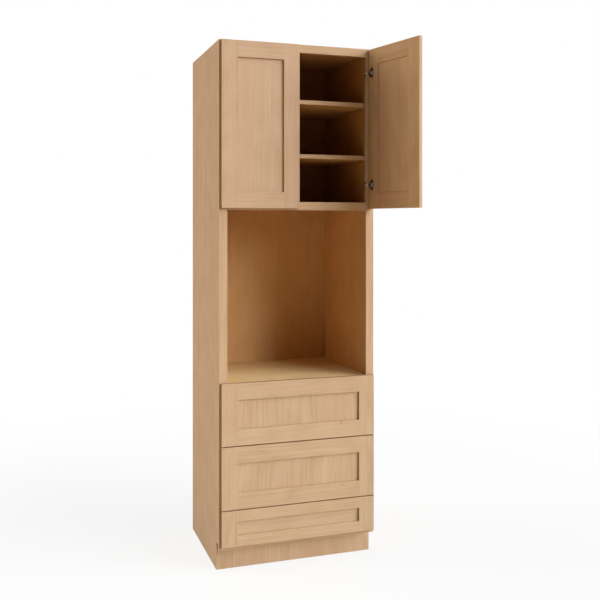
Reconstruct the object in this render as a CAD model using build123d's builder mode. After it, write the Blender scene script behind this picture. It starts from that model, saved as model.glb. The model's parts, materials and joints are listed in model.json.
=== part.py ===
from build123d import *
import os

# A tall face-framed oven cabinet: a two-door cupboard, an oven opening and three drawers.
# Millimetres, +Z up. The origin is on the floor in the middle of the 30 by 24 inch footprint,
# and the front faces -Y. At rest the left door and the drawers are shut and the right door is open.

inch = 25.4

# Overall size, with the depth taken from the face frame's front to the wall
cabinet_width = 30 * inch
cabinet_depth = 24 * inch
cabinet_height = 96 * inch

# Boards of the box
end_thickness = 0.75 * inch
side_thickness = 0.5 * inch
deck_thickness = 0.75 * inch
top_thickness = 0.5 * inch
back_thickness = 0.25 * inch
hanging_rail_thickness = 0.5 * inch
hanging_rail_height = 3 * inch
hanging_rail_middles = (6.5 * inch, 66.5 * inch, 94.5 * inch)
dado_depth = 0.25 * inch
toe_recess = 2.25 * inch
toe_thickness = 0.5 * inch

# Face frame, from the floor up
frame_thickness = 0.75 * inch
frame_member = 1.5 * inch
frame_bottom = 4.25 * inch
oven_deck_top = 34 * inch
oven_opening_top = 65.375 * inch

# Doors and drawer fronts
front_thickness = 0.75 * inch
front_gap = 0.09375 * inch
side_reveal = 0.25 * inch
door_bottom = 65.6875 * inch
door_top = 95.875 * inch
between_fronts = 0.125 * inch
front_stile = 3 * inch
front_edge_round = 1.5
back_edge_chamfer = 2.0
panel_thickness = 0.25 * inch
panel_set_back = 0.375 * inch
groove_depth = 0.375 * inch
panel_slack = 1.0

# Each drawer front's height, the width of its rails and its box's height, from the floor up
lowest_front_bottom = 4.875 * inch
drawer_names = ("lower", "middle", "upper")
drawer_front_heights = (6.53125 * inch, 11.3125 * inch, 11.28125 * inch)
drawer_front_rails = (2 * inch, 3 * inch, 3 * inch)
drawer_box_heights = (4 * inch, 9 * inch, 8 * inch)

# Small pins, and the holes that they fill, have this many sides
pin_sides = 12

# Adjustable shelves on pins in drilled rows
shelf_thickness = 0.75 * inch
shelf_bottoms = (1906.7, 2162.7)
shelf_front_gap = 0.25 * inch
shelf_end_gap = 1.0
shelf_edge_round = 1.0
pin_hole_radius = 2.5
pin_hole_depth = 10.0
pin_hole_pitch = 32.0
pin_holes_per_shelf = 3
pin_hole_inset = 2.5 * inch
pin_shank = 9.5
pin_collar_radius = 4.0
pin_collar_thickness = 1.5
pin_pad_length = 10.0
pin_pad_width = 7.0
pin_pad_thickness = 2.0

# Concealed hinges: cup in the door, pin in the cup, arm on a plate on the frame's inner edge
hinge_from_door_end = 4.5 * inch
door_open_angle = 103.5
cup_radius = 17.45
cup_wall = 0.8
cup_floor = 1.0
cup_depth = 13.5
cup_bore_radius = 17.5
cup_middle = 20.5
cup_flange_thickness = 1.0
cup_flange_radius = 19.0
cup_flange_start = 4.5
cup_ear_radius = 5.5
cup_ear_offset = (9.5, 22.5)
hinge_pin_inset = 8.5
hinge_pin_depth = 10.0
hinge_pin_radius = 1.0
hinge_pin_length = 14.5
hinge_running_gap = 0.05
lug_gap = 10.0
lug_thickness = 1.8
lug_height = 5.0
arm_thickness = 1.5
arm_width = 7.0
arm_eye_radius = 2.2
arm_bend = 2.5
arm_cover = (4.0, 14.0, 13.0)
plate_thickness = 1.5
plate_set_back = 1.5
plate_depth = 17.0
plate_height = 40.0
plate_corner = 5.0

# Drawer boxes, dovetailed at the corners
box_wall = 0.625 * inch
box_length = 21 * inch
box_side_gap = 5.1
bottom_thickness = 0.25 * inch
bottom_recess = 0.5 * inch
bottom_groove = 0.25 * inch
dovetail_lap = 4.8
dovetail_pitch = 1 * inch
tail_half_base = 6.6
tail_flare = 2.77

# Undermount slides: a cabinet member, a middle member and a drawer member, in 1.5 mm sheet
slide_sheet = 1.5
slide_above_rail = 1.0
slide_front_gap = 3.0
slide_length = 21 * inch
slide_web_height = 30.0
slide_stack = 25.0
slide_track_width = 18.0
slide_track_wall = 11.0
slide_play = 0.5
slide_side_gap = 1.5
slide_behind_front = 2.0
bracket_thickness = 3.0
bracket_overlap = 20.0
bracket_height = 45.0
bracket_side_gap = 1.0

# Places worked out from the sizes above
half_width = cabinet_width / 2
front_y = -cabinet_depth / 2
wall_y = cabinet_depth / 2
frame_back_y = front_y + frame_thickness
back_panel_y = wall_y - hanging_rail_thickness - back_thickness
side_inner_x = half_width - end_thickness - side_thickness
opening_half = half_width - frame_member
bottom_deck_top = frame_bottom + frame_member
toe_height = bottom_deck_top - deck_thickness
cupboard_floor_top = oven_opening_top + frame_member
fronts_y = front_y - front_gap
panel_back = front_thickness - panel_set_back - panel_thickness
door_width = half_width - side_reveal - between_fronts / 2
door_height = door_top - door_bottom
door_middle = (door_top + door_bottom) / 2
door_edge_x = half_width - side_reveal
hinge_rise = door_height / 2 - hinge_from_door_end
pin_x = door_edge_x - hinge_pin_inset
pin_y = fronts_y - hinge_pin_depth
box_outer_x = opening_half - box_side_gap
box_inner_x = box_outer_x - box_wall
box_front_y = fronts_y
box_back_y = fronts_y + box_length
track_outer_x = box_inner_x - slide_side_gap
track_inner_x = track_outer_x - slide_track_width - 2 * slide_sheet
slide_front_y = front_y + slide_front_gap
slide_back_y = slide_front_y + slide_length

drawer_front_bottoms = []
next_bottom = lowest_front_bottom
for height in drawer_front_heights:
    drawer_front_bottoms.append(next_bottom)
    next_bottom += height + between_fronts

# A frame rail is centred behind each gap between two drawer fronts
lower_rail_middle = drawer_front_bottoms[1] - between_fronts / 2
upper_rail_middle = drawer_front_bottoms[2] - between_fronts / 2
drawer_opening_bottoms = (
    bottom_deck_top,
    lower_rail_middle + frame_member / 2,
    upper_rail_middle + frame_member / 2,
)


def rectangle(low, high):
    # Adds a rectangle from its low corner to its high corner to the open sketch
    with Locations(((low[0] + high[0]) / 2, (low[1] + high[1]) / 2)):
        Rectangle(high[0] - low[0], high[1] - low[1])


def save(piece, label):
    piece.part.label = label
    export_step(piece.part, f"parts/{label}.step")


# The side of the box and the finished end over it share one outline, notched for the toe space
toe_back_y = front_y + toe_recess + toe_thickness
side_outline = (
    (toe_back_y, 0),
    (wall_y, 0),
    (wall_y, cabinet_height),
    (frame_back_y, cabinet_height),
    (frame_back_y, toe_height),
    (toe_back_y, toe_height),
)


def make_end_panel(side, label):
    with BuildPart() as panel:
        with BuildSketch(Plane.YZ.offset(side * (half_width - end_thickness))):
            with BuildLine():
                Polyline(*side_outline, close=True)
            make_face()
        extrude(amount=side * end_thickness)
    save(panel, label)


def make_box_side(side, label):
    # Dadoed for the decks, rabbeted for the top, grooved for the back and drilled for shelf pins
    decks = (
        (toe_height, bottom_deck_top),
        (oven_deck_top - deck_thickness, oven_deck_top),
        (cupboard_floor_top - deck_thickness, cupboard_floor_top),
        (cabinet_height - top_thickness, cabinet_height),
    )
    columns = (frame_back_y + pin_hole_inset, back_panel_y - pin_hole_inset)
    inner_face = Plane.YZ.offset(side * side_inner_x)
    with BuildPart() as board:
        with BuildSketch(inner_face):
            with BuildLine():
                Polyline(*side_outline, close=True)
            make_face()
        extrude(amount=side * side_thickness)
        with BuildSketch(inner_face):
            for low, high in decks:
                rectangle((frame_back_y, low), (back_panel_y, high))
            rectangle((back_panel_y, 0), (back_panel_y + back_thickness, cabinet_height))
        extrude(amount=side * dado_depth, mode=Mode.SUBTRACT)
        with BuildSketch(inner_face):
            for bottom in shelf_bottoms:
                for y in columns:
                    with Locations((y, bottom - pin_collar_radius)):
                        with GridLocations(0, pin_hole_pitch, 1, pin_holes_per_shelf):
                            RegularPolygon(pin_hole_radius, pin_sides)
        extrude(amount=side * pin_hole_depth, mode=Mode.SUBTRACT)
    save(board, label)


def make_deck(bottom, thickness, label):
    # A horizontal board let into the dados of both sides, from the face frame to the back
    reach = side_inner_x + dado_depth
    with BuildPart() as deck:
        with BuildSketch(Plane.XY.offset(bottom)):
            rectangle((-reach, frame_back_y), (reach, back_panel_y))
        extrude(amount=thickness)
    save(deck, label)


def make_back_panel():
    reach = side_inner_x + dado_depth
    with BuildPart() as back_panel:
        with BuildSketch(Plane.XZ.offset(-back_panel_y - back_thickness)):
            rectangle((-reach, 0), (reach, cabinet_height))
        extrude(amount=back_thickness)
    save(back_panel, "back_panel")


def make_hanging_rails():
    # The wall screws go through the back panel into these three rails
    with BuildPart() as hanging_rails:
        with BuildSketch(Plane.XZ.offset(-wall_y)):
            for middle in hanging_rail_middles:
                with Locations((0, middle)):
                    Rectangle(2 * side_inner_x, hanging_rail_height)
        extrude(amount=hanging_rail_thickness)
    save(hanging_rails, "hanging_rails")


def make_toe_board():
    with BuildPart() as toe_board:
        with BuildSketch(Plane.XZ.offset(-toe_back_y)):
            rectangle((-half_width, 0), (half_width, toe_height))
        extrude(amount=toe_thickness)
    save(toe_board, "toe_board")


def make_frame_member(low, high, label):
    # One stile or rail of the face frame, from its low corner to its high corner
    with BuildPart() as member:
        with BuildSketch(Plane.XZ.offset(-frame_back_y)):
            rectangle(low, high)
        extrude(amount=frame_thickness)
    save(member, label)


def make_shelf(bottom, label):
    half = side_inner_x - shelf_end_gap
    with BuildPart() as shelf:
        with BuildSketch(Plane.XY.offset(bottom)):
            rectangle((-half, frame_back_y + shelf_front_gap), (half, back_panel_y - shelf_end_gap))
        extrude(amount=shelf_thickness)
        fillet(shelf.edges().filter_by(Axis.X).group_by(Axis.Y)[0], radius=shelf_edge_round)
    save(shelf, label)


def make_shelf_pins():
    # Shank in the drilled hole, collar against the side and a flat pad under the shelf
    columns = (frame_back_y + pin_hole_inset, back_panel_y - pin_hole_inset)
    places = [(y, bottom) for bottom in shelf_bottoms for y in columns]
    with BuildPart() as shelf_pins:
        for side in (-1, 1):
            for y, bottom in places:
                with BuildSketch(Plane.YZ.offset(side * side_inner_x)):
                    with Locations((y, bottom - pin_collar_radius)):
                        RegularPolygon(pin_hole_radius, pin_sides)
                extrude(amount=side * pin_shank)
                with BuildSketch(Plane.YZ.offset(side * side_inner_x)):
                    with Locations((y, bottom - pin_collar_radius)):
                        RegularPolygon(pin_collar_radius, pin_sides)
                extrude(amount=-side * pin_collar_thickness)
                with BuildSketch(Plane.YZ.offset(side * side_inner_x)):
                    with Locations((y, bottom - pin_pad_thickness / 2)):
                        Rectangle(pin_pad_width, pin_pad_thickness)
                extrude(amount=-side * pin_pad_length)
    save(shelf_pins, "shelf_pins")


def door_plane(side, swing):
    # The back face of a door: the origin is on its hinge edge at mid-height, x runs to its
    # free edge and z comes out of its front. The door turns about the pins in its hinge cups.
    pin = Vector(side * pin_x, pin_y, door_middle)
    shut_edge = Vector(side * door_edge_x, fronts_y, door_middle)
    turn = side * swing
    return Plane(
        origin=pin + (shut_edge - pin).rotate(Axis.Z, turn),
        x_dir=Vector(-side, 0, 0).rotate(Axis.Z, turn),
        z_dir=Vector(0, -1, 0).rotate(Axis.Z, turn),
    )


def make_framed_front(label, plane, width, height, rail, bored_for_hinges):
    # Two stiles, two rails with stub tenons and a flat panel that floats in their grooves.
    # The plane is the front's back face, with its origin at mid-height on one edge.
    half = height / 2
    across = Axis(plane.origin, plane.x_dir)
    up = Axis(plane.origin, plane.y_dir)
    outward = Axis(plane.origin, plane.z_dir)
    groove_plane = plane.offset(panel_back)
    groove_start = front_stile - groove_depth

    with BuildPart() as stiles:
        with BuildSketch(plane):
            rectangle((0, -half), (front_stile, half))
        extrude(amount=front_thickness)
        front_face = stiles.faces().sort_by(outward)[-1]
        fillet(front_face.edges().sort_by(across)[:-1], radius=front_edge_round)
        back_face = stiles.faces().sort_by(outward)[0]
        chamfer(back_face.edges().sort_by(across)[:-1], length=back_edge_chamfer)
        with BuildSketch(groove_plane):
            rectangle((groove_start, -half), (front_stile, half))
        extrude(amount=panel_thickness, mode=Mode.SUBTRACT)
        mirror(about=Plane(plane.origin + plane.x_dir * (width / 2), z_dir=plane.x_dir))
        if bored_for_hinges:
            with BuildSketch(plane):
                with Locations((cup_middle, -hinge_rise), (cup_middle, hinge_rise)):
                    Circle(cup_bore_radius)
            extrude(amount=cup_depth, mode=Mode.SUBTRACT)
    save(stiles, f"{label}_stiles")

    with BuildPart() as rails:
        with BuildSketch(plane):
            rectangle((front_stile, half - rail), (width - front_stile, half))
        extrude(amount=front_thickness)
        front_face = rails.faces().sort_by(outward)[-1]
        fillet(front_face.edges().sort_by(up)[-1], radius=front_edge_round)
        back_face = rails.faces().sort_by(outward)[0]
        chamfer(back_face.edges().sort_by(up)[-1], length=back_edge_chamfer)
        with BuildSketch(groove_plane):
            rectangle((groove_start, half - rail), (width - groove_start, half))
        extrude(amount=panel_thickness)
        with BuildSketch(groove_plane):
            rectangle((groove_start, half - rail), (width - groove_start, half - rail + groove_depth))
        extrude(amount=panel_thickness, mode=Mode.SUBTRACT)
        mirror(about=Plane(plane.origin, z_dir=plane.y_dir))
    save(rails, f"{label}_rails")

    panel_x = groove_start + panel_slack
    panel_y = half - rail + groove_depth - panel_slack
    with BuildPart() as panel:
        with BuildSketch(groove_plane):
            rectangle((panel_x, -panel_y), (width - panel_x, panel_y))
        extrude(amount=panel_thickness)
    save(panel, f"{label}_panel")


def make_hinge_cups(plane, label):
    # A drawn cup with a screw flange, and two lugs inside it that carry the pin
    lug_start = cup_middle - cup_radius
    lug_end = hinge_pin_inset + arm_eye_radius
    lug_middle = (lug_gap + lug_thickness) / 2
    ear_x = cup_middle + cup_ear_offset[0]
    inner_radius = cup_radius - cup_wall
    flange_height = 2 * (cup_ear_offset[1] + cup_ear_radius)
    with BuildPart() as cups:
        for rise in (-hinge_rise, hinge_rise):
            with BuildSketch(plane):
                with Locations((cup_middle, rise)):
                    Circle(cup_radius)
            extrude(amount=cup_depth)
            with BuildSketch(plane):
                with Locations((cup_middle, rise)):
                    Circle(cup_flange_radius)
                with Locations((ear_x, rise - cup_ear_offset[1]), (ear_x, rise + cup_ear_offset[1])):
                    Circle(cup_ear_radius)
                make_hull()
                with Locations((0, rise)):
                    Rectangle(2 * cup_flange_start, flange_height, mode=Mode.SUBTRACT)
            extrude(amount=-cup_flange_thickness)
            with BuildSketch(plane.offset(-cup_flange_thickness)):
                with Locations((cup_middle, rise)):
                    Circle(inner_radius)
            extrude(amount=cup_flange_thickness + cup_depth - cup_floor, mode=Mode.SUBTRACT)
            with BuildSketch(plane.offset(cup_depth)):
                for lug in (-lug_middle, lug_middle):
                    rectangle(
                        (lug_start, rise + lug - lug_thickness / 2),
                        (lug_end, rise + lug + lug_thickness / 2),
                    )
                with Locations((cup_middle, rise)):
                    Circle(cup_radius, mode=Mode.INTERSECT)
            extrude(amount=-cup_floor - lug_height)
            pin_origin = plane.from_local_coords(Vector(hinge_pin_inset, rise, hinge_pin_depth))
            with BuildSketch(Plane(pin_origin, x_dir=plane.x_dir, z_dir=plane.y_dir)):
                Circle(hinge_pin_radius + hinge_running_gap)
            extrude(amount=hinge_pin_length / 2, both=True, mode=Mode.SUBTRACT)
    save(cups, label)


def hinge_places():
    # Every hinge as its side and its height
    return [(side, door_middle + rise) for side in (-1, 1) for rise in (-hinge_rise, hinge_rise)]


def make_hinge_pins():
    with BuildPart() as hinge_pins:
        for side, height in hinge_places():
            with BuildSketch(Plane.XY.offset(height)):
                with Locations((side * pin_x, pin_y)):
                    RegularPolygon(hinge_pin_radius, pin_sides)
            extrude(amount=hinge_pin_length / 2, both=True)
    save(hinge_pins, "hinge_pins")


def make_hinge_arms():
    # The strap leaves the pin inside the cup, turns out of it and lies back along the plate
    strap_x = opening_half - plate_thickness - arm_thickness / 2
    arm_end_y = front_y + plate_depth
    cover_height, cover_length, cover_width = arm_cover
    with BuildPart() as hinge_arms:
        for side, height in hinge_places():
            with BuildSketch(Plane.XY.offset(height)):
                with BuildLine():
                    FilletPolyline(
                        (side * pin_x, pin_y),
                        (side * strap_x, pin_y),
                        (side * strap_x, arm_end_y),
                        radius=arm_bend,
                    )
                trace(line_width=arm_thickness)
                with Locations((side * pin_x, pin_y)):
                    Circle(arm_eye_radius)
                    RegularPolygon(hinge_pin_radius, pin_sides, mode=Mode.SUBTRACT)
            extrude(amount=arm_width / 2, both=True)
            cover_x = opening_half - plate_thickness
            with BuildSketch(Plane.XY.offset(height)):
                rectangle(
                    (min(side * cover_x, side * (cover_x - cover_height)), arm_end_y - cover_length),
                    (max(side * cover_x, side * (cover_x - cover_height)), arm_end_y),
                )
            extrude(amount=cover_width / 2, both=True)
    save(hinge_arms, "hinge_arms")


def make_hinge_plates():
    with BuildPart() as hinge_plates:
        for side, height in hinge_places():
            with BuildSketch(Plane.YZ.offset(side * opening_half)):
                with Locations((front_y + plate_set_back + plate_depth / 2, height)):
                    outline = Rectangle(plate_depth, plate_height)
                chamfer(outline.vertices(), length=plate_corner)
            extrude(amount=-side * plate_thickness)
    save(hinge_plates, "hinge_plates")


def tails(y_shoulder, y_tip, floor, height):
    # The outlines of the dovetails at one end of a drawer side, narrow at the shoulder
    count = round(height / dovetail_pitch)
    middles = [floor + dovetail_pitch * (number + 0.5) for number in range(count)]
    tip_half = tail_half_base + tail_flare
    return [
        (
            (y_shoulder, middle - tail_half_base),
            (y_tip, middle - tip_half),
            (y_tip, middle + tip_half),
            (y_shoulder, middle + tail_half_base),
        )
        for middle in middles
    ]


def make_drawer_box(name, floor, height):
    # Sides with tails, front and back with half-blind sockets, and a bottom held in a groove
    top = floor + height
    ends = (
        (box_front_y + box_wall, box_front_y + dovetail_lap),
        (box_back_y - box_wall, box_back_y - dovetail_lap),
    )
    groove_low = floor + bottom_recess
    groove_high = groove_low + bottom_thickness

    with BuildPart() as sides:
        for side in (-1, 1):
            inner_face = Plane.YZ.offset(side * box_inner_x)
            with BuildSketch(inner_face):
                rectangle((ends[0][0], floor), (ends[1][0], top))
                for shoulder, tip in ends:
                    for tail in tails(shoulder, tip, floor, height):
                        Polygon(*tail, align=None)
            extrude(amount=side * box_wall)
            with BuildSketch(inner_face):
                rectangle(
                    (ends[0][0] - bottom_groove, groove_low),
                    (ends[1][0] + bottom_groove, groove_high),
                )
            extrude(amount=side * bottom_groove, mode=Mode.SUBTRACT)
    save(sides, f"{name}_drawer_box_sides")

    with BuildPart() as box_ends:
        for outer_y, direction in ((box_front_y, 1), (box_back_y, -1)):
            shoulder = outer_y + direction * box_wall
            tip = outer_y + direction * dovetail_lap
            with BuildSketch(Plane.XZ.offset(-outer_y)):
                rectangle((-box_outer_x, floor), (box_outer_x, top))
            extrude(amount=-direction * box_wall)
            for side in (-1, 1):
                with BuildSketch(Plane.YZ.offset(side * box_inner_x)):
                    for tail in tails(shoulder, tip, floor, height):
                        Polygon(*tail, align=None)
                extrude(amount=side * box_wall, mode=Mode.SUBTRACT)
            with BuildSketch(Plane.XZ.offset(-shoulder)):
                rectangle((-box_inner_x, groove_low), (box_inner_x, groove_high))
            extrude(amount=direction * bottom_groove, mode=Mode.SUBTRACT)
        # The slides run out under the back of the box through a notch at each side
        with BuildSketch(Plane.XZ.offset(-box_back_y)):
            for side in (-1, 1):
                notch = sorted((side * box_inner_x, side * (track_inner_x - slide_side_gap)))
                rectangle((notch[0], floor), (notch[1], groove_low))
        extrude(amount=box_wall, mode=Mode.SUBTRACT)
    save(box_ends, f"{name}_drawer_box_ends")

    with BuildPart() as box_bottom:
        with BuildSketch(Plane.XY.offset(groove_low)):
            rectangle(
                (-box_inner_x - bottom_groove, ends[0][0] - bottom_groove),
                (box_inner_x + bottom_groove, ends[1][0] + bottom_groove),
            )
        extrude(amount=bottom_thickness)
    save(box_bottom, f"{name}_drawer_box_bottom")


def make_slide_cabinet_members():
    # A web on the frame's edge, a base flange under the drawer side and a track that opens upwards
    with BuildPart() as members:
        for side in (-1, 1):
            for opening_bottom in drawer_opening_bottoms:
                base = opening_bottom + slide_above_rail
                walls = (
                    (opening_half, slide_web_height),
                    (track_outer_x, slide_track_wall),
                    (track_inner_x + slide_sheet, slide_track_wall),
                )
                with BuildSketch(Plane.XZ.offset(-slide_back_y)):
                    with Locations((side * (track_inner_x + opening_half) / 2, base + slide_sheet / 2)):
                        Rectangle(opening_half - track_inner_x, slide_sheet)
                    for outer_x, wall_height in walls:
                        with Locations((side * (outer_x - slide_sheet / 2), base + wall_height / 2)):
                            Rectangle(slide_sheet, wall_height)
                extrude(amount=slide_length)
    save(members, "slide_cabinet_members")


def make_slide_rear_brackets():
    # A foot on the back panel with a tongue that lies on the slide's base flange
    inner_x = track_outer_x + bracket_side_gap
    outer_x = opening_half - slide_sheet - bracket_side_gap
    foot_front_y = back_panel_y - bracket_thickness
    with BuildPart() as brackets:
        for side in (-1, 1):
            for opening_bottom in drawer_opening_bottoms:
                base = opening_bottom + slide_above_rail + slide_sheet
                tongue_top = base + bracket_thickness
                with BuildSketch(Plane.YZ.offset(side * inner_x)):
                    rectangle((slide_back_y - bracket_overlap, base), (back_panel_y, tongue_top))
                    rectangle((foot_front_y, base), (back_panel_y, base + bracket_height))
                extrude(amount=side * (outer_x - inner_x))
    save(brackets, "slide_rear_brackets")


def make_slide_middles(name, base):
    # An H section: the lower half runs in the cabinet's track and the upper half in the drawer's
    low = base + slide_sheet + slide_play
    high = base + slide_stack - slide_sheet - slide_play
    near_x = track_inner_x + slide_sheet + slide_play
    far_x = track_outer_x - slide_sheet - slide_play
    length = slide_back_y - box_front_y - box_wall - slide_behind_front
    with BuildPart() as middles:
        with BuildSketch(Plane.XZ.offset(-slide_back_y)):
            for side in (-1, 1):
                for wall_x in (near_x + slide_sheet / 2, far_x - slide_sheet / 2):
                    with Locations((side * wall_x, (low + high) / 2)):
                        Rectangle(slide_sheet, high - low)
                with Locations((side * (near_x + far_x) / 2, (low + high) / 2)):
                    Rectangle(far_x - near_x, slide_sheet)
        extrude(amount=length)
    save(middles, f"{name}_slide_middles")


def make_slide_drawer_members(name, base):
    # A track that opens downwards and carries the drawer bottom
    track_z = base + slide_stack - slide_track_wall / 2
    with BuildPart() as members:
        with BuildSketch(Plane.XZ.offset(-box_back_y)):
            for side in (-1, 1):
                middle_x = side * (track_inner_x + track_outer_x) / 2
                with Locations((middle_x, track_z)):
                    Rectangle(slide_track_width + 2 * slide_sheet, slide_track_wall)
                with Locations((middle_x, track_z - slide_sheet)):
                    Rectangle(slide_track_width, slide_track_wall, mode=Mode.SUBTRACT)
        extrude(amount=box_length - box_wall)
    save(members, f"{name}_slide_drawer_members")


os.makedirs("parts", exist_ok=True)

# The box
make_end_panel(-1, "left_end_panel")
make_end_panel(1, "right_end_panel")
make_box_side(-1, "left_box_side")
make_box_side(1, "right_box_side")
make_deck(toe_height, deck_thickness, "bottom_deck")
make_deck(oven_deck_top - deck_thickness, deck_thickness, "oven_deck")
make_deck(cupboard_floor_top - deck_thickness, deck_thickness, "cupboard_floor")
make_deck(cabinet_height - top_thickness, top_thickness, "top_panel")
make_back_panel()
make_hanging_rails()
make_toe_board()

# The face frame
make_frame_member((-half_width, frame_bottom), (-opening_half, cabinet_height), "left_stile")
make_frame_member((opening_half, frame_bottom), (half_width, cabinet_height), "right_stile")
rail_bottoms = {
    "bottom_rail": frame_bottom,
    "lower_drawer_rail": lower_rail_middle - frame_member / 2,
    "upper_drawer_rail": upper_rail_middle - frame_member / 2,
    "oven_rail": oven_deck_top - frame_member,
    "cupboard_rail": oven_opening_top,
    "top_rail": cabinet_height - frame_member,
}
for rail_name, rail_bottom in rail_bottoms.items():
    make_frame_member((-opening_half, rail_bottom), (opening_half, rail_bottom + frame_member), rail_name)

# The shelves
for shelf_name, shelf_bottom in zip(("lower_shelf", "upper_shelf"), shelf_bottoms):
    make_shelf(shelf_bottom, shelf_name)
make_shelf_pins()

# The doors and their hinges
for door_name, door_side, swing in (("left", -1, 0), ("right", 1, door_open_angle)):
    back_plane = door_plane(door_side, swing)
    make_framed_front(f"{door_name}_door", back_plane, door_width, door_height, front_stile, True)
    make_hinge_cups(back_plane, f"{door_name}_hinge_cups")
make_hinge_pins()
make_hinge_arms()
make_hinge_plates()

# The drawers and their slides
make_slide_cabinet_members()
make_slide_rear_brackets()
for index, drawer_name in enumerate(drawer_names):
    front_height = drawer_front_heights[index]
    front_origin = (-door_edge_x, fronts_y, drawer_front_bottoms[index] + front_height / 2)
    front_plane = Plane(origin=front_origin, x_dir=(1, 0, 0), z_dir=(0, -1, 0))
    make_framed_front(
        f"{drawer_name}_drawer_front",
        front_plane,
        2 * door_edge_x,
        front_height,
        drawer_front_rails[index],
        False,
    )
    slide_base = drawer_opening_bottoms[index] + slide_above_rail
    box_floor = slide_base + slide_stack - bottom_recess
    make_drawer_box(drawer_name, box_floor, drawer_box_heights[index])
    make_slide_middles(drawer_name, slide_base)
    make_slide_drawer_members(drawer_name, slide_base)
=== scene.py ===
import json
import math
import bmesh
import bpy
from mathutils import Matrix, Vector


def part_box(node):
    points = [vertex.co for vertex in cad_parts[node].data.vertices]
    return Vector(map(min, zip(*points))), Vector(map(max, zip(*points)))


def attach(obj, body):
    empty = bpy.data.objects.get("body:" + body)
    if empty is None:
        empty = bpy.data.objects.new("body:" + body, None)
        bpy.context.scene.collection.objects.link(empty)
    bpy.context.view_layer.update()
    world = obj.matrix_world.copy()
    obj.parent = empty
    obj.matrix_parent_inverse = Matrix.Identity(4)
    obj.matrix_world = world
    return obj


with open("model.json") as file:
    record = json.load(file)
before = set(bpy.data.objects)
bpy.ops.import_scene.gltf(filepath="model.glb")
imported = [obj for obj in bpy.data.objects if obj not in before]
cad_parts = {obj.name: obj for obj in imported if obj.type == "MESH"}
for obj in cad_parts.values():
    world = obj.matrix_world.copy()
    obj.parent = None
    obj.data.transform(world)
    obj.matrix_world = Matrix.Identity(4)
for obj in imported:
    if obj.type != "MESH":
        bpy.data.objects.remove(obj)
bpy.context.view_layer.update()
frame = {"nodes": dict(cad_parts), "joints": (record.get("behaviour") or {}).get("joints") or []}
nodes = frame["nodes"]


# Camera, level, with the view shifted down so that the whole height of the cabinet is in the picture
cameraView = {
    "place": (-1.24735, -4.0399, 1.59926),  # metres, from the middle of the footprint
    "turn": 18.564,                         # degrees to the right of straight at the cabinet
    "focalPixels": 838.89,
    "pictureSize": 600,
    "horizonRow": 223.2,                    # the picture row that a level line of sight meets
    "sensor": 36.0,
}

cameraData = bpy.data.cameras.new("camera")
cameraData.sensor_width = cameraView["sensor"]
cameraData.lens = cameraView["sensor"] * cameraView["focalPixels"] / cameraView["pictureSize"]
cameraData.shift_y = cameraView["horizonRow"] / cameraView["pictureSize"] - 0.5
cameraObject = bpy.data.objects.new("camera", cameraData)
cameraObject.location = cameraView["place"]
cameraObject.rotation_euler = (math.radians(90), 0, -math.radians(cameraView["turn"]))
bpy.context.scene.collection.objects.link(cameraObject)
bpy.context.scene.camera = cameraObject
bpy.context.scene.view_settings.view_transform = "Standard"


# A finish is a material that is wired up in sums
def operator(operation, reflected=False):
    def applied(self, other):
        pair = (other, self) if reflected else (self, other)
        return self.finish.maths(operation, *pair)
    return applied


class Socket:
    def __init__(self, finish, output):
        self.finish = finish
        self.output = output

    __add__ = operator("ADD")
    __radd__ = operator("ADD", True)
    __sub__ = operator("SUBTRACT")
    __rsub__ = operator("SUBTRACT", True)
    __mul__ = operator("MULTIPLY")
    __rmul__ = operator("MULTIPLY", True)
    __truediv__ = operator("DIVIDE")
    __pow__ = operator("POWER")
    __gt__ = operator("GREATER_THAN")
    __lt__ = operator("LESS_THAN")


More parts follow.
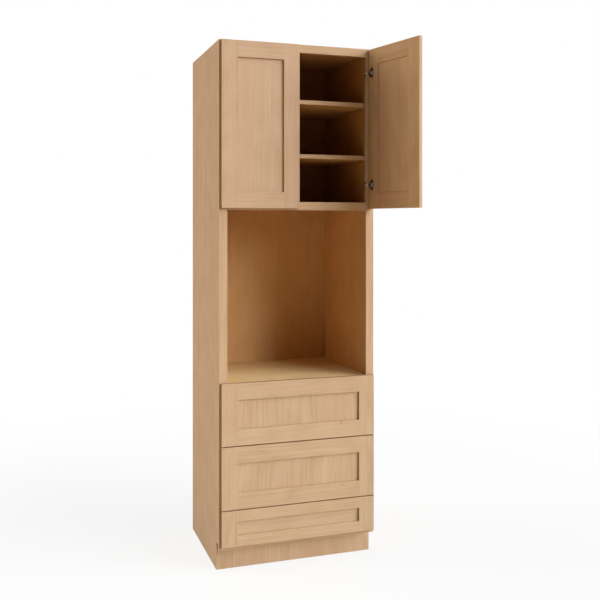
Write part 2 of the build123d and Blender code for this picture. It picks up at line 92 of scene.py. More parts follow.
class Finish:
    def __init__(self, name):
        self.material = bpy.data.materials.new(name)
        self.material.use_nodes = True
        self.tree = self.material.node_tree
        self.tree.nodes.clear()

    def node(self, kind, settings=None, sockets=None, out=0):
        made = self.tree.nodes.new(kind)
        for name, value in (settings or {}).items():
            if name == "stops":
                self.setStops(made.color_ramp.elements, value)
            else:
                setattr(made, name, value)
        for name, value in (sockets or {}).items():
            if isinstance(value, Socket):
                self.tree.links.new(value.output, made.inputs[name])
            else:
                made.inputs[name].default_value = value
        return Socket(self, made.outputs[out]) if made.outputs else made

    def setStops(self, elements, stops):
        while len(elements) < len(stops):
            elements.new(1)
        for element, (position, colour) in zip(elements, stops):
            element.position = position
            element.color = (*colour, 1)

    def maths(self, operation, *values):
        return self.node("ShaderNodeMath", {"operation": operation}, dict(enumerate(values)))

    def split(self, vector):
        first = self.node("ShaderNodeSeparateXYZ", {}, {0: vector})
        return [Socket(self, output) for output in first.output.node.outputs]

    def join(self, x, y, z):
        return self.node("ShaderNodeCombineXYZ", {}, {0: x, 1: y, 2: z})

    def noise(self, vector, scales, detail=2.0, roughness=0.5, start=(0, 0, 0)):
        # The scales are how often the noise changes in a metre, along each axis
        settings = {"operation": "MULTIPLY_ADD"}
        stretched = self.node("ShaderNodeVectorMath", settings, {0: vector, 1: scales, 2: start})
        sockets = {"Vector": stretched, "Scale": 1.0, "Detail": detail, "Roughness": roughness}
        return self.node("ShaderNodeTexNoise", {}, sockets)

    def ramp(self, value, stops):
        return self.node("ShaderNodeValToRGB", {"stops": stops}, {0: value})

    def blend(self, factor, low, high, mode="MIX"):
        pair = [colour if isinstance(colour, Socket) else (*colour, 1) for colour in (low, high)]
        settings = {"data_type": "RGBA", "blend_type": mode}
        return self.node("ShaderNodeMix", settings, {0: factor, 6: pair[0], 7: pair[1]}, 2)

    def fade(self, value, low, high):
        # 0 below low, 1 above high
        settings = {"interpolation_type": "SMOOTHSTEP"}
        return self.node("ShaderNodeMapRange", settings, {0: value, 1: low, 2: high})

    def nearest(self, spot, sides):
        # How far inward a spot is from the nearest of some sides
        distances = [(spot[axis] - place) * way for axis, place, way in sides]
        least = distances[0]
        for distance in distances[1:]:
            least = self.maths("MINIMUM", least, distance)
        return least

    def surface(self, sockets, height=None, depth=0.0):
        # depth is the height of the relief in metres
        if height:
            sockets["Normal"] = self.node("ShaderNodeBump", {}, {"Height": height, "Distance": depth})
        shader = self.node("ShaderNodeBsdfPrincipled", {}, sockets)
        self.node("ShaderNodeOutputMaterial", {}, {"Surface": shader})
        return self.material


# The woods. Shares are how much of a board's light and dark each pattern makes, and pitches are in metres
cabinetMaple = {
    "dark": (0.475, 0.310, 0.178),
    "middle": (0.594, 0.412, 0.258),
    "light": (0.676, 0.492, 0.332),
    "rosy": (0.604, 0.400, 0.264),
    "rosyShare": 0.40,
    "endGrain": (0.400, 0.255, 0.145),
    "plyLight": (0.640, 0.450, 0.280),
    "plyDark": (0.330, 0.200, 0.110),
    "knot": (0.330, 0.195, 0.105),
    "backPaintedShade": (0.97, 0.87, 0.72),        # painted shade: the fronts' backs are made as golden as the cabinet's inside, for warm shade
    "cupboardPaintedShade": (0.78, 0.66, 0.46),    # painted shade: the cabinet's walls are deeper in colour inside the cupboard
    "streakShare": 0.26,
    "bandShare": 0.10,
    "ringShare": 0.16,
    "fibreShare": 0.20,
    "figureShare": 0.08,
    "ringPitch": 0.0042,
    "plyPitch": 0.0028,
    "lean": 0.03,          # how far the grain runs aside where it leans most, to each metre of length
    "wave": 0.005,         # metres that the grain wanders to either side
    "roughness": 0.60,
    "gloss": 0.03,
}
doorMaple = dict(
    cabinetMaple,
    dark=(0.475, 0.318, 0.190),
    middle=(0.594, 0.422, 0.276),
    light=(0.676, 0.504, 0.355),
    rosy=(0.612, 0.412, 0.290),
    rosyShare=0.55,
)
drawerMaple = dict(
    cabinetMaple,
    dark=(0.442, 0.303, 0.174),
    middle=(0.566, 0.406, 0.254),
    light=(0.648, 0.486, 0.328),
    rosy=(0.580, 0.394, 0.262),
)
insidePly = dict(
    cabinetMaple,
    dark=(0.510, 0.295, 0.125),
    middle=(0.650, 0.408, 0.196),
    light=(0.735, 0.490, 0.264),
    rosy=(0.645, 0.388, 0.190),
    streakShare=0.15,
    bandShare=0.07,
)
# Painted shade: the cupboard's shelves, floor and top are deeper and more orange than the other ply, for
# the cupboard's dark inside
cupboardPlyPaintedShade = dict(
    cabinetMaple,
    dark=(0.480, 0.262, 0.098),
    middle=(0.620, 0.356, 0.142),
    light=(0.700, 0.425, 0.195),
    rosy=(0.610, 0.335, 0.135),
)
deckPly = dict(
    cabinetMaple,
    dark=(0.570, 0.412, 0.200),
    middle=(0.700, 0.528, 0.282),
    light=(0.770, 0.608, 0.357),
    rosy=(0.690, 0.503, 0.269),
)
drawerBirch = dict(
    cabinetMaple,
    dark=(0.560, 0.390, 0.235),
    middle=(0.690, 0.515, 0.340),
    light=(0.760, 0.600, 0.430),
    rosy=(0.680, 0.490, 0.330),
    endGrain=(0.470, 0.320, 0.190),
)


# How the patterns are drawn in every wood. A pattern has its scales across, through and along the board,
# then its detail, its roughness and where it starts, if they aren't the usual ones
grain = {
    "slant": ((13, 2, 1.1), 1),
    "wander": ((3, 3, 3.2), 1, 0.5, (0, 7, 0)),
    "ringWander": ((4, 4, 1.6),),
    "streak": ((130, 130, 2.6), 3, 0.6),
    "band": ((21, 21, 0.45), 1),
    "fibre": ((900, 900, 16),),
    "figure": ((9, 9, 6), 2, 0.5, (0, 0, 12)),
    "hue": ((17, 17, 0.4), 1, 0.5, (40, 0, 0)),
    "spreads": {"streak": 4, "band": 4, "ring": 1, "fibre": 2, "figure": 4},   # noise keeps near its middle
    "slantFades": (0.50, 0.66),      # where the grain goes from straight to leaning
    "rosyFades": (0.45, 0.62),
    "boardShift": 0.731,             # metres from one board's place in the patterns to the next one's
    "throughShift": 0.37,            # shares of it, through the board and along it
    "alongShift": 1.71,
    "pithAside": 0.16,               # metres that a pith may lie aside of its board's middle
    "pithTurn": 5.3,                 # how differently neighbouring boards' piths lie aside
    "pithBehind": 0.09,              # metres
    "pithLean": 0.035,               # to each metre of length
    "ringWaves": 0.03,               # metres
    "turnsFrom": (0.6, 0.8),         # how squarely a facet must face an axis to be an end or an edge
    "endShare": 0.75,
    "plyFades": (0.4, 0.6),
    "plyFibreShare": 0.5,
    "fibreRoughens": 0.16,
    "endRoughens": 0.2,
    "reliefShares": {"fibre": 0.6, "streak": 0.4},
    "relief": 0.00012,
}

# Boards whose grain leans more than the rest
leaningBoards = {
    "upper_drawer_front_panel": 0.16,
    "middle_drawer_front_panel": 0.16,
    "right_door_panel": 0.06,
}

# Pin knots. A place is across the board and along it, in metres
pinKnots = {
    "places": {
        "upper_drawer_front_rails": (0.6506, 0.2052),
        "middle_drawer_front_rails": (0.3557, 0.2104),
    },
    "radius": 0.0056,
    "longer": 1.4,             # a knot's length as a share of its width
    "fades": (0.35, 1.0),
    "share": 0.6,
}

# Painted shade: fine dark lines on the fronts, where a panel meets its frame and on the outer edges. Metres
paintedShadeLines = {
    "shade": (0.235, 0.100, 0.025),
    "seamInset": 0.0085,       # how far a panel reaches into its frame's grooves
    "seamFades": (0.0, 0.0020),
    "seamShare": 0.42,
    "seamShareBehind": 0.80,   # on the backs the line is darker and wider
    "seamWiderBehind": 0.0008,
    "edgeFades": (0.0004, 0.0020),
    "edgeShare": 0.65,
}

# The right door stands open at rest, turned by this much about its hinge pins
rightHinge = next(joint for joint in frame["joints"] if joint["name"] == "right_door_hinge")
rightDoorTurn = math.radians(-rightHinge["range_deg"][0])
rightPin = Vector(rightHinge["pos_m"])
toPin = Matrix.Translation(rightPin)
doorOpened = toPin @ Matrix.Rotation(rightDoorTurn, 4, "Z") @ toPin.inverted()


def shutBox(name):
    # A board's lowest and highest corners when the doors are shut
    points = [vertex.co for vertex in nodes[name].data.vertices]
    if name.startswith("right_door"):
        points = [doorOpened.inverted() @ point for point in points]
    return [[pick(point[axis] for point in points) for axis in range(3)] for pick in (min, max)]


class Board(Finish):
    # The finish of a board, from the axis that its grain runs along and the axis of its thickness
    def __init__(self, name, wood, along, through):
        super().__init__(name)
        self.name, self.wood = name, wood
        self.along, self.through, self.across = along, through, 3 - along - through
        self.low, self.high = shutBox(name)
        place = self.node("ShaderNodeTexCoord", out="Object")
        facet = self.node("ShaderNodeTexCoord", out="Normal")
        if name.startswith("right_door"):
            # Worked out as if the door were shut
            spin = {"rotation_type": "Z_AXIS"}
            back = {"Center": rightPin, "Angle": -rightDoorTurn}
            place = self.node("ShaderNodeVectorRotate", spin, {"Vector": place, **back})
            facet = self.node("ShaderNodeVectorRotate", spin, {"Vector": facet, "Angle": -rightDoorTurn})
        self.spot = self.split(place)
        self.facet = self.split(facet)

    def drawGrain(self, shift):
        wood, spot = self.wood, self.spot
        middles = [(low + high) / 2 for low, high in zip(self.low, self.high)]
        straight = spot[self.across] + shift
        deep = spot[self.through] + shift * grain["throughShift"]
        onward = spot[self.along] + shift * grain["alongShift"]

        # The grain wanders, and leans aside in some parts of the board
        place = self.join(straight, deep, onward)
        slant = self.fade(self.noise(place, *grain["slant"]), *grain["slantFades"])
        lean = leaningBoards.get(self.name, wood["lean"])
        wander = self.noise(place, *grain["wander"]) - 0.5
        aside = straight - (spot[self.along] - middles[self.along]) * slant * lean
        aside = aside + wander * (2 * wood["wave"])

        # Rings round a pith that lies behind the board and leans a little, so that some faces show arches
        place = self.join(aside, deep, onward)
        pithAside = grain["pithAside"] * math.sin(shift * grain["pithTurn"])
        fromPith = aside - (middles[self.across] + shift + pithAside)
        depth = deep + grain["pithBehind"] + onward * grain["pithLean"]
        ringWander = self.noise(place, *grain["ringWander"])
        radius = (fromPith * fromPith + depth * depth) ** 0.5 + ringWander * grain["ringWaves"]

        noises = ("streak", "band", "fibre", "figure")
        self.patterns = {kind: self.noise(place, *grain[kind]) for kind in noises}
        self.patterns["ring"] = self.maths("PINGPONG", radius / wood["ringPitch"], 1.0)
        self.tone = 0.5
        for kind, spread in grain["spreads"].items():
            self.tone = self.tone + (self.patterns[kind] - 0.5) * (spread * wood[kind + "Share"])
        rosy = self.fade(self.noise(place, *grain["hue"]), *grain["rosyFades"]) * wood["rosyShare"]
        self.colour = self.blend(rosy, self.shades(wood), wood["rosy"])

    def shades(self, wood):
        return self.ramp(self.tone, ((0.0, wood["dark"]), (0.5, wood["middle"]), (1.0, wood["light"])))

    def drawKnot(self, across, along):
        aside = (self.spot[self.across] - across) / pinKnots["radius"]
        onward = (self.spot[self.along] - along) / (pinKnots["radius"] * pinKnots["longer"])
        near = 1 - self.fade((aside * aside + onward * onward) ** 0.5, *pinKnots["fades"])
        self.colour = self.blend(near * pinKnots["share"], self.colour, self.wood["knot"])

    def shadeLineSides(self):
        # The sides that a front's painted shade line follows, each an axis, a place on it and which way is
        # inward
        inset = paintedShadeLines["seamInset"] if self.name.endswith("_panel") else 0.0
        sides = [(axis, self.low[axis] + inset, 1) for axis in (0, 2)]
        sides += [(axis, self.high[axis] - inset, -1) for axis in (0, 2)]
        if self.name.endswith("_panel") or "drawer" in self.name:
            return sides
        # A door has its painted shade line on the hinge side only
        return sides[2:3] if self.name.startswith("right") else sides[:1]

    def drawFrontShade(self):
        # Painted shade in the seams round a panel and along the fronts' outer edges
        line = "seam" if self.name.endswith("_panel") else "edge"
        inward = self.nearest(self.spot, self.shadeLineSides())
        share = paintedShadeLines[line + "Share"]
        onBack = self.facet[1] > 0.5
        if line == "seam":
            inward = inward - onBack * paintedShadeLines["seamWiderBehind"]
            share = share + onBack * (paintedShadeLines["seamShareBehind"] - share)
        onShadeLine = 1 - self.fade(inward, *paintedShadeLines[line + "Fades"])
        self.colour = self.blend(onShadeLine * share, self.colour, paintedShadeLines["shade"])
        # Painted shade: the backs take a deeper, warmer colour
        self.colour = self.blend(onBack, self.colour, self.wood["backPaintedShade"], "MULTIPLY")

    def drawCupboardShade(self):
        # Painted shade: the walls are deeper in colour above the cupboard floor, the back panel on its
        # front face only
        inCupboard = self.spot[2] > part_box("cupboard_floor")[0].z
        if self.name == "back_panel":
            inCupboard = inCupboard * (self.facet[1] < -0.5)
        self.colour = self.blend(inCupboard, self.colour, self.wood["cupboardPaintedShade"], "MULTIPLY")

    def faces(self, axis):
        # 1 on a facet that faces along an axis
        return self.fade(self.maths("ABSOLUTE", self.facet[axis]), *grain["turnsFrom"])

    def drawPlies(self, start, banded):
        wood, fibre = self.wood, self.patterns["fibre"]
        layer = self.maths("PINGPONG", (self.spot[self.through] - start) / wood["plyPitch"], 1.0)
        plies = self.blend(self.fade(layer, *grain["plyFades"]), wood["plyLight"], wood["plyDark"])
        plies = self.blend(fibre * grain["plyFibreShare"], plies, wood["endGrain"])
        onEdge = 1 - self.faces(self.through)
        if banded:
            # The front edge wears a strip of the face frame's wood
            front = self.facet[1] < -0.5
            self.colour = self.blend(front, self.colour, self.shades(cabinetMaple))
            onEdge = onEdge * (1 - front)
        self.colour = self.blend(onEdge, self.colour, plies)

    def finished(self):
        fibre, streak = self.patterns["fibre"], self.patterns["streak"]
        rough = self.wood["roughness"] + (fibre - 0.5) * grain["fibreRoughens"]
        rough = rough + self.faces(self.along) * grain["endRoughens"]
        relief = fibre * grain["reliefShares"]["fibre"] + streak * grain["reliefShares"]["streak"]
        sockets = {"Base Color": self.colour, "Roughness": rough, "Specular IOR Level": self.wood["gloss"]}
        return self.surface(sockets, relief, grain["relief"])


def woodFinish(name, wood, along, through, shift, ply):
    board = Board(name, wood, along, through)
    board.drawGrain(shift)
    if name in pinKnots["places"]:
        board.drawKnot(*pinKnots["places"][name])
    if "_door_" in name or "_front_" in name:
        board.drawFrontShade()
    if name in ("left_box_side", "right_box_side", "back_panel"):
        board.drawCupboardShade()
    if ply:
        board.drawPlies(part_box(name)[0][through], banded=name.endswith("_shelf"))
    else:
        onEnd = board.faces(along) * grain["endShare"]
        board.colour = board.blend(onEnd, board.colour, wood["endGrain"])
    return board.finished()


# Metal and plastic. Scales are to the metre along x, y and z, and the relief is in metres
nickelPlate = {
    # Painted shade: the nickel is darker and warmer than bright nickel, for the dark wood that the hinges
    # reflect
    "colour": (0.440, 0.365, 0.290),
    "darker": 0.82,
    "roughness": 0.12,
    "brushScales": (900, 900, 5200),
    "brushRoughens": 0.06,
    "cloudScales": (120, 120, 120),
    "cloudRoughens": 0.10,
    "relief": 0.00002,
}
zincSteel = {
    "colour": (0.610, 0.620, 0.635),
    "darker": 0.78,
    "roughness": 0.36,
    "spangle": 180,            # crystals to the metre
    "spangleShare": 0.6,
    "spangleRoughens": 0.14,
    "drawnScales": (1500, 12, 1500),
    "drawnRoughens": 0.12,
    "relief": 0.00002,
}
mouldedNylon = {
    "colour": (0.720, 0.715, 0.700),
    "darker": 0.88,
    "roughness": 0.50,
    "cloudScales": (60, 60, 60),
    "cloudShare": 0.5,
    "speckScales": (2400, 2400, 2400),
    "speckRoughens": 0.2,
    "relief": 0.00003,
}


def darker(plan):
    return [channel * plan["darker"] for channel in plan["colour"]]


def nickelFinish():
    finish, plan = Finish("hinge_nickel"), nickelPlate
    place = finish.node("ShaderNodeTexCoord", out="Object")
    brushed = finish.noise(place, plan["brushScales"])
    cloud = finish.noise(place, plan["cloudScales"])
    colour = finish.blend(cloud, plan["colour"], darker(plan))
    rough = plan["roughness"] + (cloud - 0.5) * plan["cloudRoughens"]
    rough = rough + (brushed - 0.5) * plan["brushRoughens"]
    sockets = {"Base Color": colour, "Roughness": rough, "Metallic": 1.0}
    return finish.surface(sockets, brushed, plan["relief"])


def zincFinish():
    finish, plan = Finish("slide_steel"), zincSteel
    place = finish.node("ShaderNodeTexCoord", out="Object")
    spangled = {"Vector": place, "Scale": plan["spangle"]}
    shade = finish.split(finish.node("ShaderNodeTexVoronoi", {}, spangled, "Color"))[0]
    drawn = finish.noise(place, plan["drawnScales"])
    colour = finish.blend(shade * plan["spangleShare"], plan["colour"], darker(plan))
    rough = plan["roughness"] + (shade - 0.5) * plan["spangleRoughens"]
    rough = rough + (drawn - 0.5) * plan["drawnRoughens"]
    sockets = {"Base Color": colour, "Roughness": rough, "Metallic": 1.0}
    return finish.surface(sockets, drawn, plan["relief"])


def nylonFinish():
    finish, plan = Finish("bracket_plastic"), mouldedNylon
    place = finish.node("ShaderNodeTexCoord", out="Object")
    speckled = finish.noise(place, plan["speckScales"])
    cloud = finish.noise(place, plan["cloudScales"])
    colour = finish.blend(cloud * plan["cloudShare"], plan["colour"], darker(plan))
    rough = plan["roughness"] + (speckled - 0.5) * plan["speckRoughens"]
    return finish.surface({"Base Color": colour, "Roughness": rough}, speckled, plan["relief"])


# Each board's wood, the axis of its grain and the axis of its thickness
boards = {
    "left_stile": (cabinetMaple, "z", "y"),
    "right_stile": (cabinetMaple, "z", "y"),
    "top_rail": (cabinetMaple, "x", "y"),
    "cupboard_rail": (cabinetMaple, "x", "y"),
    "oven_rail": (cabinetMaple, "x", "y"),
    "upper_drawer_rail": (cabinetMaple, "x", "y"),
    "lower_drawer_rail": (cabinetMaple, "x", "y"),
    "bottom_rail": (cabinetMaple, "x", "y"),
    "toe_board": (cabinetMaple, "z", "y"),
}
plyBoards = {
    "left_end_panel": (cabinetMaple, "z", "x"),
    "right_end_panel": (cabinetMaple, "z", "x"),
    "left_box_side": (insidePly, "z", "x"),
    "right_box_side": (insidePly, "z", "x"),
    "back_panel": (insidePly, "z", "y"),
    "hanging_rails": (insidePly, "x", "y"),
    "top_panel": (cupboardPlyPaintedShade, "x", "z"),
    "cupboard_floor": (cupboardPlyPaintedShade, "x", "z"),
    "oven_deck": (deckPly, "x", "z"),
    "bottom_deck": (insidePly, "x", "z"),
    "lower_shelf": (cupboardPlyPaintedShade, "x", "z"),
    "upper_shelf": (cupboardPlyPaintedShade, "x", "z"),
}
drawers = ("lower", "middle", "upper")
for drawer in drawers:
    boards[f"{drawer}_drawer_front_stiles"] = (drawerMaple, "z", "y")
    boards[f"{drawer}_drawer_front_rails"] = (drawerMaple, "x", "y")
    boards[f"{drawer}_drawer_front_panel"] = (drawerMaple, "x" if drawer == "lower" else "z", "y")
    boards[f"{drawer}_drawer_box_sides"] = (drawerBirch, "y", "x")
    boards[f"{drawer}_drawer_box_ends"] = (drawerBirch, "x", "y")
    plyBoards[f"{drawer}_drawer_box_bottom"] = (drawerBirch, "x", "z")
for door in ("left", "right"):
    boards[f"{door}_door_stiles"] = (doorMaple, "z", "y")
    boards[f"{door}_door_rails"] = (doorMaple, "x", "y")
    boards[f"{door}_door_panel"] = (doorMaple, "z", "y")


def give(name, material):
    mesh = nodes[name].data
    mesh.materials.clear()
    mesh.materials.append(material)


for number, (name, (wood, along, through)) in enumerate({**boards, **plyBoards}.items()):
    along, through = "xyz".index(along), "xyz".index(through)
    shift = grain["boardShift"] * (number + 1)
    give(name, woodFinish(name, wood, along, through, shift, name in plyBoards))

nickel, zinc, nylon = nickelFinish(), zincFinish(), nylonFinish()
for name in nodes:
    if "hinge" in name or name == "shelf_pins":
        give(name, nickel)
    elif "slide" in name:
        give(name, nylon if "brackets" in name else zinc)
print("finishes made:", len(bpy.data.materials))


# Small solids, built in mesh code
def makeSolid(outlines):
    # A closed solid through outlines that lie one above the other, with as many points each
    solid = bmesh.new()
    rows = [[solid.verts.new(point) for point in outline] for outline in outlines]
    for low, high in zip(rows, rows[1:]):
        for first in range(len(low)):
            second = (first + 1) % len(low)
            solid.faces.new((low[first], low[second], high[second], high[first]))
    solid.faces.new(rows[0][::-1])
    solid.faces.new(rows[-1])
    mesh = bpy.data.meshes.new("solid")
    solid.to_mesh(mesh)
    solid.free()
    return mesh


def roundedOutline(halfWidth, near, far, corner, height, steps=4):
    # A rectangle with round corners, from near to far along y, at one height
    middle = (near + far) / 2
    inset = (halfWidth - corner, (far - near) / 2 - corner)
    points = []
    for quarter, (right, up) in enumerate(((1, 1), (-1, 1), (-1, -1), (1, -1))):
        for step in range(steps + 1):
            angle = math.pi / 2 * (quarter + step / steps)
            x = right * inset[0] + corner * math.cos(angle)
            y = middle + up * inset[1] + corner * math.sin(angle)
            points.append((x, y, height))
    return points


def withModifiers(mesh, *modifiers):
    # The mesh that is left after the modifiers, each given as its kind and its settings
    worked = bpy.data.objects.new("worked", mesh)
    bpy.context.scene.collection.objects.link(worked)
    for kind, settings in modifiers:
        modifier = worked.modifiers.new(kind.lower(), kind)
        for name, value in settings.items():
            setattr(modifier, name, value)
    evaluated = worked.evaluated_get(bpy.context.evaluated_depsgraph_get())
    result = bpy.data.meshes.new_from_object(evaluated)
    bpy.data.objects.remove(worked)
    return result


def combine(operation, mesh, others):
    tools = [bpy.data.objects.new("tool", other) for other in others]
    for tool in tools:
        bpy.context.scene.collection.objects.link(tool)
    steps = [("BOOLEAN", {"operation": operation, "solver": "EXACT", "object": tool}) for tool in tools]
    result = withModifiers(mesh, *steps)
    for tool in tools:
        bpy.data.objects.remove(tool)
    return result


def facing(spot, way, turn=0.0):
    # The place of a thing whose foot is at spot and whose top looks along way
    aimed = Vector(way).to_track_quat("Z", "Y").to_matrix().to_4x4()
    return Matrix.Translation(spot) @ aimed @ Matrix.Rotation(turn, 4, "Z")


sharpFrom = 35       # degrees between facets from which a fastener's edge stays sharp


def fixCopies(name, mesh, places, body, material):
    # One piece made of a copy of the mesh at each place, riding a body
    joined = bmesh.new()
    for place in places:
        copy = mesh.copy()
        copy.transform(place)
        joined.from_mesh(copy)
        bpy.data.meshes.remove(copy)
    piece = bpy.data.objects.new(name, bpy.data.meshes.new(name))
    joined.to_mesh(piece.data)
    joined.free()
    piece.data.materials.append(material)
    piece.data.shade_smooth()
    piece.data.set_sharp_from_angle(angle=math.radians(sharpFrom))
    bpy.context.scene.collection.objects.link(piece)
    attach(piece, body)


# Screw heads, domed and with a cross recess, each sunk a little into what it holds. Metres
screws = {
    "sides": 32,
    "domeSteps": 5,
    "sink": 0.0003,
    "recessReach": 0.64,       # half the cross's length and width, as shares of the head's radius
    "recessWidth": 0.15,
    "recessDepth": 0.8,        # share of the head's height
    "recessNarrows": 0.5,
    "turnBetween": 0.7,        # how differently neighbouring heads stand, in radians
    "cup": (0.0036, 0.0010),   # radius and height of a head
    "plate": (0.0034, 0.0014),
    "arm": (0.0022, 0.0009),
    "slide": (0.0036, 0.0015),
    "bracket": (0.0038, 0.0020),
    "front": (0.0042, 0.0020),
    "clip": (0.0021, 0.0010),
}


def screwHead(radius, height):
    sides, steps = screws["sides"], screws["domeSteps"]
    rim = height / 2
    rings = [(radius, -screws["sink"]), (radius, rim)]
    for step in range(1, steps):
        angle = math.pi / 2 * step / steps
        rings.append((radius * math.cos(angle), rim + (height - rim) * math.sin(angle)))
    turns = [2 * math.pi * side / sides for side in range(sides)]
    outlines = [[(r * math.cos(turn), r * math.sin(turn), z) for turn in turns] for r, z in rings]

    reach, half = radius * screws["recessReach"], radius * screws["recessWidth"]
    cross = []
    for quarter in range(4):
        for x, y in ((reach, -half), (reach, half), (half, half)):
            for turned in range(quarter):
                x, y = -y, x
            cross.append((x, y))
    narrow, depth = screws["recessNarrows"], height * screws["recessDepth"]
    levels = ((height - depth, narrow), (height + depth, 2 - narrow))
    recess = makeSolid([[(x * scale, y * scale, z) for x, y in cross] for z, scale in levels])
    return combine("DIFFERENCE", makeSolid(outlines), [recess])


def fixScrews(name, size, spots, body, material, moved=None):
    places = []
    for number, (spot, way) in enumerate(spots):
        place = facing(spot, way, number * screws["turnBetween"])
        places.append(moved @ place if moved else place)
    fixCopies(name, screwHead(*screws[size]), places, body, material)


# Where the hinges' screws go, in metres from the plates, the arms and the doors' hinge edges
hinges = {
    "plateThickness": 0.0015,
    "plateHalfHeight": 0.020,
    "plateScrewRise": 0.013,
    "coverHeight": 0.004,
    "coverScrewsFromEnd": (0.0037, 0.0102),
    "flangeThickness": 0.001,
    "earFromEdge": 0.030,
    "earRise": 0.0225,
}


def fixHingeScrews():
    low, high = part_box("hinge_plates")
    heights = (low.z + hinges["plateHalfHeight"], high.z - hinges["plateHalfHeight"])
    plateX = high.x - hinges["plateThickness"]
    plateY = (low.y + high.y) / 2
    coverX = plateX - hinges["coverHeight"]
    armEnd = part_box("hinge_arms")[1].y
    sides = [(side, height) for side in (-1, 1) for height in heights]
    plateSpots = [
        ((side * plateX, plateY, height + up * hinges["plateScrewRise"]), (-side, 0, 0))
        for side, height in sides for up in (-1, 1)
    ]
    coverSpots = [
        ((side * coverX, armEnd - back, height), (-side, 0, 0))
        for side, height in sides for back in hinges["coverScrewsFromEnd"]
    ]
    fixScrews("hinge_plate_screws", "plate", plateSpots, "carcass", nickel)
    fixScrews("hinge_arm_screws", "arm", coverSpots, "carcass", nickel)

    # The right door's screws are set out on the shut door and turned open with it
    doorLow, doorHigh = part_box("left_door_stiles")
    earX = doorLow.x + hinges["earFromEdge"]
    earY = doorHigh.y + hinges["flangeThickness"]
    for door, side, moved in (("left", 1, None), ("right", -1, doorOpened)):
        spots = [
            ((side * earX, earY, height + up * hinges["earRise"]), (0, 1, 0))
            for height in heights for up in (-1, 1)
        ]
        name = f"{door}_hinge_cup_screws"
        fixScrews(name, "cup", spots, f"{door}_door", nickel, moved)


# Where the slides' and drawers' screws go, in metres from the steel that they go through
slides = {
    "sheet": 0.0015,
    "webScrewsFromFront": (0.0028, 0.0108),
    "webScrewDrop": 0.005,
    "footThickness": 0.003,
    "footMiddle": 0.0095,
    "footScrewRises": (-0.010, 0.013),
    "boxWall": 0.015875,
    "frontScrewX": 0.310,
    "frontScrewShares": (0.35, 0.80),   # shares of the drawer box's height
}


def fixSlideScrews():
    tracks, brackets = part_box("slide_cabinet_members"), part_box("slide_rear_brackets")
    webX = tracks[1].x - slides["sheet"]
    footX = brackets[1].x - slides["footMiddle"]
    footY = brackets[1].y - slides["footThickness"]
    webSpots, footSpots = [], []
    for drawer in drawers:
        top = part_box(f"{drawer}_slide_drawer_members")[1].z
        for side in (-1, 1):
            for back in slides["webScrewsFromFront"]:
                spot = (side * webX, tracks[0].y + back, top - slides["webScrewDrop"])
                webSpots.append((spot, (-side, 0, 0)))
            for rise in slides["footScrewRises"]:
                footSpots.append(((side * footX, footY, top + rise), (0, -1, 0)))
        low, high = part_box(f"{drawer}_drawer_box_ends")
        wall = low.y + slides["boxWall"]
        rises = [low.z + share * (high.z - low.z) for share in slides["frontScrewShares"]]
        frontSpots = [
            ((side * slides["frontScrewX"], wall, rise), (0, 1, 0))
            for side in (-1, 1) for rise in rises
        ]
        name = f"{drawer}_drawer_front_screws"
        fixScrews(name, "front", frontSpots, f"{drawer}_drawer", zinc)
    fixScrews("slide_screws", "slide", webSpots, "carcass", zinc)
    fixScrews("rear_bracket_screws", "bracket", footSpots, "carcass", zinc)


# The catch under each front corner of a drawer. Metres: x across, y back from the box's front, z up from
# its bottom. A slab has its half width, near end, far end, thickness, top and the radius of its corners
clips = {
    "fromTrack": 0.017,
    "plate": (0.0140, 0.0002, 0.0400, 0.0025, 0.0, 0.0030),
    "upright": (0.0140, 0.0001, 0.0026, 0.0110, -0.0004, 0.0006),
    "housing": (0.0092, 0.0070, 0.0340, 0.0090, -0.0004, 0.0030),
    "housingTaper": 0.0008,
    "lever": (0.0060, 0.0120, 0.0500, 0.0026, -0.0086, 0.0045),
    "ridge": (0.0045, 0.0380, 0.0391, 0.0009, -0.0109, 0.0005),
    "ridges": 5,
    "ridgePitch": 0.0024,
    "edge": 0.0004,
    "edgeFrom": 50,            # degrees between facets from which an edge is rounded
    "screwX": 0.0114,
    "screwY": (0.0120, 0.0330),
}


def slab(size, taper=0.0, back=0.0):
    halfWidth, near, far, thickness, top, corner = size
    near, far = near + back, far + back
    low = roundedOutline(halfWidth - taper, near + taper, far - taper, corner, top - thickness)
    return makeSolid([low, roundedOutline(halfWidth, near, far, corner, top)])


def clipBody():
    parts = [slab(clips["upright"]), slab(clips["housing"], clips["housingTaper"]), slab(clips["lever"])]
    for number in range(clips["ridges"]):
        parts.append(slab(clips["ridge"], back=number * clips["ridgePitch"]))
    body = combine("UNION", slab(clips["plate"]), parts)
    bevel = {"width": clips["edge"], "segments": 2, "limit_method": "ANGLE"}
    bevel["angle_limit"] = math.radians(clips["edgeFrom"])
    return withModifiers(body, ("BEVEL", bevel))


def fixClips():
    body = clipBody()
    for drawer in drawers:
        members = f"{drawer}_slide_drawer_members"
        trackInner = min(abs(vertex.co.x) for vertex in nodes[members].data.vertices)
        x, z = trackInner - clips["fromTrack"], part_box(members)[1].z
        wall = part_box(f"{drawer}_drawer_box_ends")[0].y + slides["boxWall"]
        places = [Matrix.Translation((side * x, wall, z)) for side in (-1, 1)]
        fixCopies(f"{drawer}_drawer_clips", body, places, f"{drawer}_drawer", nylon)
        thickness = clips["plate"][3]
        spots = [
            (place @ Vector((side * clips["screwX"], y, -thickness)), (0, 0, -1))
            for place in places for side in (-1, 1) for y in clips["screwY"]
        ]
        name = f"{drawer}_drawer_clip_screws"
        fixScrews(name, "clip", spots, f"{drawer}_drawer", zinc)


# Staples that hold the back panel to the decks, seen from behind. Metres
staples = {
    "halfLength": 0.0055,
    "halfWidth": 0.0006,
    "corner": 0.00057,
    "cornerSteps": 3,
    "sink": 0.0003,
    "proud": 0.0004,
    "pitch": 0.095,
    "perRow": 7,
    "lean": 0.25,              # radians to either side
    "leanSteps": (2.3, 1.7),   # how differently neighbours in a row and in a column lean
}


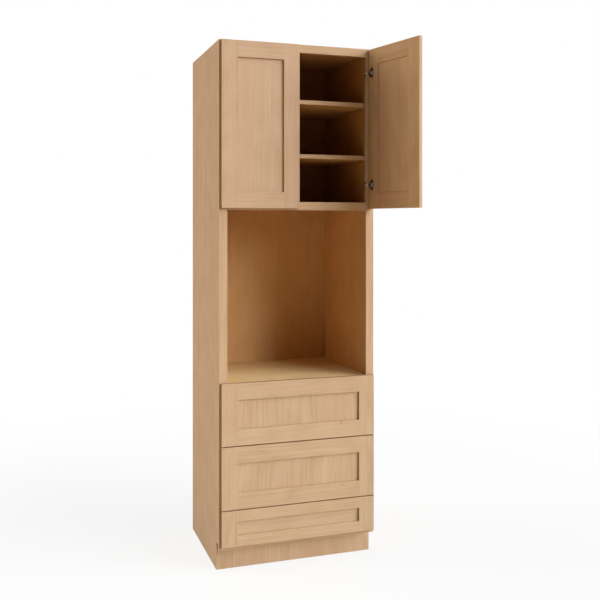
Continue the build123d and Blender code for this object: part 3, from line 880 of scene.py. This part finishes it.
def fixStaples():
    long = staples["halfLength"]
    outlines = [
        roundedOutline(staples["halfWidth"], -long, long, staples["corner"], height, staples["cornerSteps"])
        for height in (-staples["sink"], staples["proud"])
    ]
    crown = makeSolid(outlines)
    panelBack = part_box("back_panel")[1].y
    alongRow, upColumn = staples["leanSteps"]
    places = []
    for row, deck in enumerate(("bottom_deck", "oven_deck", "cupboard_floor", "top_panel")):
        low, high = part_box(deck)
        for number in range(staples["perRow"]):
            x = (number - (staples["perRow"] - 1) / 2) * staples["pitch"]
            lean = math.pi / 2 + staples["lean"] * math.sin(alongRow * number + upColumn * row)
            places.append(facing((x, panelBack, (low.z + high.z) / 2), (0, 1, 0), lean))
    fixCopies("back_panel_staples", crown, places, "carcass", zinc)


fixHingeScrews()
fixSlideScrews()
fixClips()
fixStaples()
print("fasteners made")


# Studio: soft lamps far off, so that they light the whole height alike, and a pale floor on a white ground
studio = {
    "lamps": {                    # degrees right of the front, degrees up, degrees wide, level, colour
        "key_lamp": (50, 24, 50, 0.96, (1.0, 1.0, 1.0)),
        "low_lamp": (50, 14, 20, 0.12, (1.0, 1.0, 1.0)),
        "front_lamp": (30, 12, 18, 0.10, (1.0, 1.0, 1.0)),
        "top_lamp": (0, 80, 40, 0.28, (1.0, 1.0, 1.0)),
        "back_lamp": (-112, 20, 44, 0.58, (1.0, 0.965, 0.915)),
    },
    "lampsAway": 4.0,             # metres, only for finding them: their light is the same from any distance
    "floorSize": 80.0,
    "floorSeen": (0.90, 0.90, 0.90),
    "floorOwnLight": 0.84,        # share of the floor's white that isn't dimmed by shadows
    "floorFades": (1.2, 3.5),     # metres from the middle over which that share goes to all of it
    "nearBounce": (0.62, 0.55, 0.48),    # what the floor throws back on the cabinet
    "middleBounce": (0.93, 0.70, 0.46),
    "farBounce": (0.20, 0.15, 0.10),
    "bounceFades": ((1.2, 1.8), (5.0, 7.0)),  # metres over which near goes to middle and middle to far
}


def makeLamp(name, side, up, width, level, colour):
    # The level is how bright the lamp alone makes a white card that faces it
    side, up = math.radians(side), math.radians(up)
    way = Vector((math.sin(side) * math.cos(up), -math.cos(side) * math.cos(up), math.sin(up)))
    data = bpy.data.lights.new(name, "SUN")
    data.angle = math.radians(width)
    data.energy = level * math.pi
    data.color = colour
    lamp = bpy.data.objects.new(name, data)
    lamp.location = way * studio["lampsAway"]
    lamp.rotation_euler = way.to_track_quat("Z", "Y").to_euler()
    bpy.context.scene.collection.objects.link(lamp)


def seenRays(finish):
    # 1 for what the camera sees straight, in a reflection or through glass
    rays = [
        finish.node("ShaderNodeLightPath", out=name)
        for name in ("Is Camera Ray", "Is Glossy Ray", "Is Transmission Ray")
    ]
    return finish.maths("MINIMUM", rays[0] + rays[1] + rays[2], 1.0)


class World(Finish):
    def __init__(self, name):
        world = bpy.data.worlds.new(name)
        world.use_nodes = True
        self.tree = world.node_tree
        self.tree.nodes.clear()
        bpy.context.scene.world = world


def makeRoom():
    # White where it is seen and dark where it isn't, so that it sheds no light of its own
    room = World("room")
    background = room.node("ShaderNodeBackground", {}, {"Color": (1, 1, 1, 1), "Strength": seenRays(room)})
    room.node("ShaderNodeOutputWorld", {}, {"Surface": background})


def makeFloor():
    mesh = bpy.data.meshes.new("floor")
    half = studio["floorSize"] / 2
    corners = [(-half, -half, 0), (half, -half, 0), (half, half, 0), (-half, half, 0)]
    mesh.from_pydata(corners, [], [(0, 1, 2, 3)])
    floor = bpy.data.objects.new("floor", mesh)
    bpy.context.scene.collection.objects.link(floor)
    finish = Finish("floor")
    seen = seenRays(finish)
    x, y = finish.split(finish.node("ShaderNodeTexCoord", out="Object"))[:2]
    distance = (x * x + y * y) ** 0.5
    far = finish.fade(distance, *studio["floorFades"])
    ownLight = studio["floorOwnLight"] + far * (1 - studio["floorOwnLight"])
    toMiddle, toFar = [finish.fade(distance, *fades) for fades in studio["bounceFades"]]
    bounce = finish.blend(toMiddle, studio["nearBounce"], studio["middleBounce"])
    bounce = finish.blend(toFar, bounce, studio["farBounce"])
    colour = finish.blend(seen, bounce, studio["floorSeen"])
    painted = finish.node("ShaderNodeBsdfDiffuse", {}, {"Color": colour})
    glow = finish.node("ShaderNodeEmission", {}, {"Color": (1, 1, 1, 1), "Strength": 1.0})
    shader = finish.node("ShaderNodeMixShader", {}, {0: seen * ownLight, 1: painted, 2: glow})
    finish.node("ShaderNodeOutputMaterial", {}, {"Surface": shader})
    mesh.materials.append(finish.material)


for lampName, lampPlan in studio["lamps"].items():
    makeLamp(lampName, *lampPlan)
makeRoom()
makeFloor()
print("studio made")
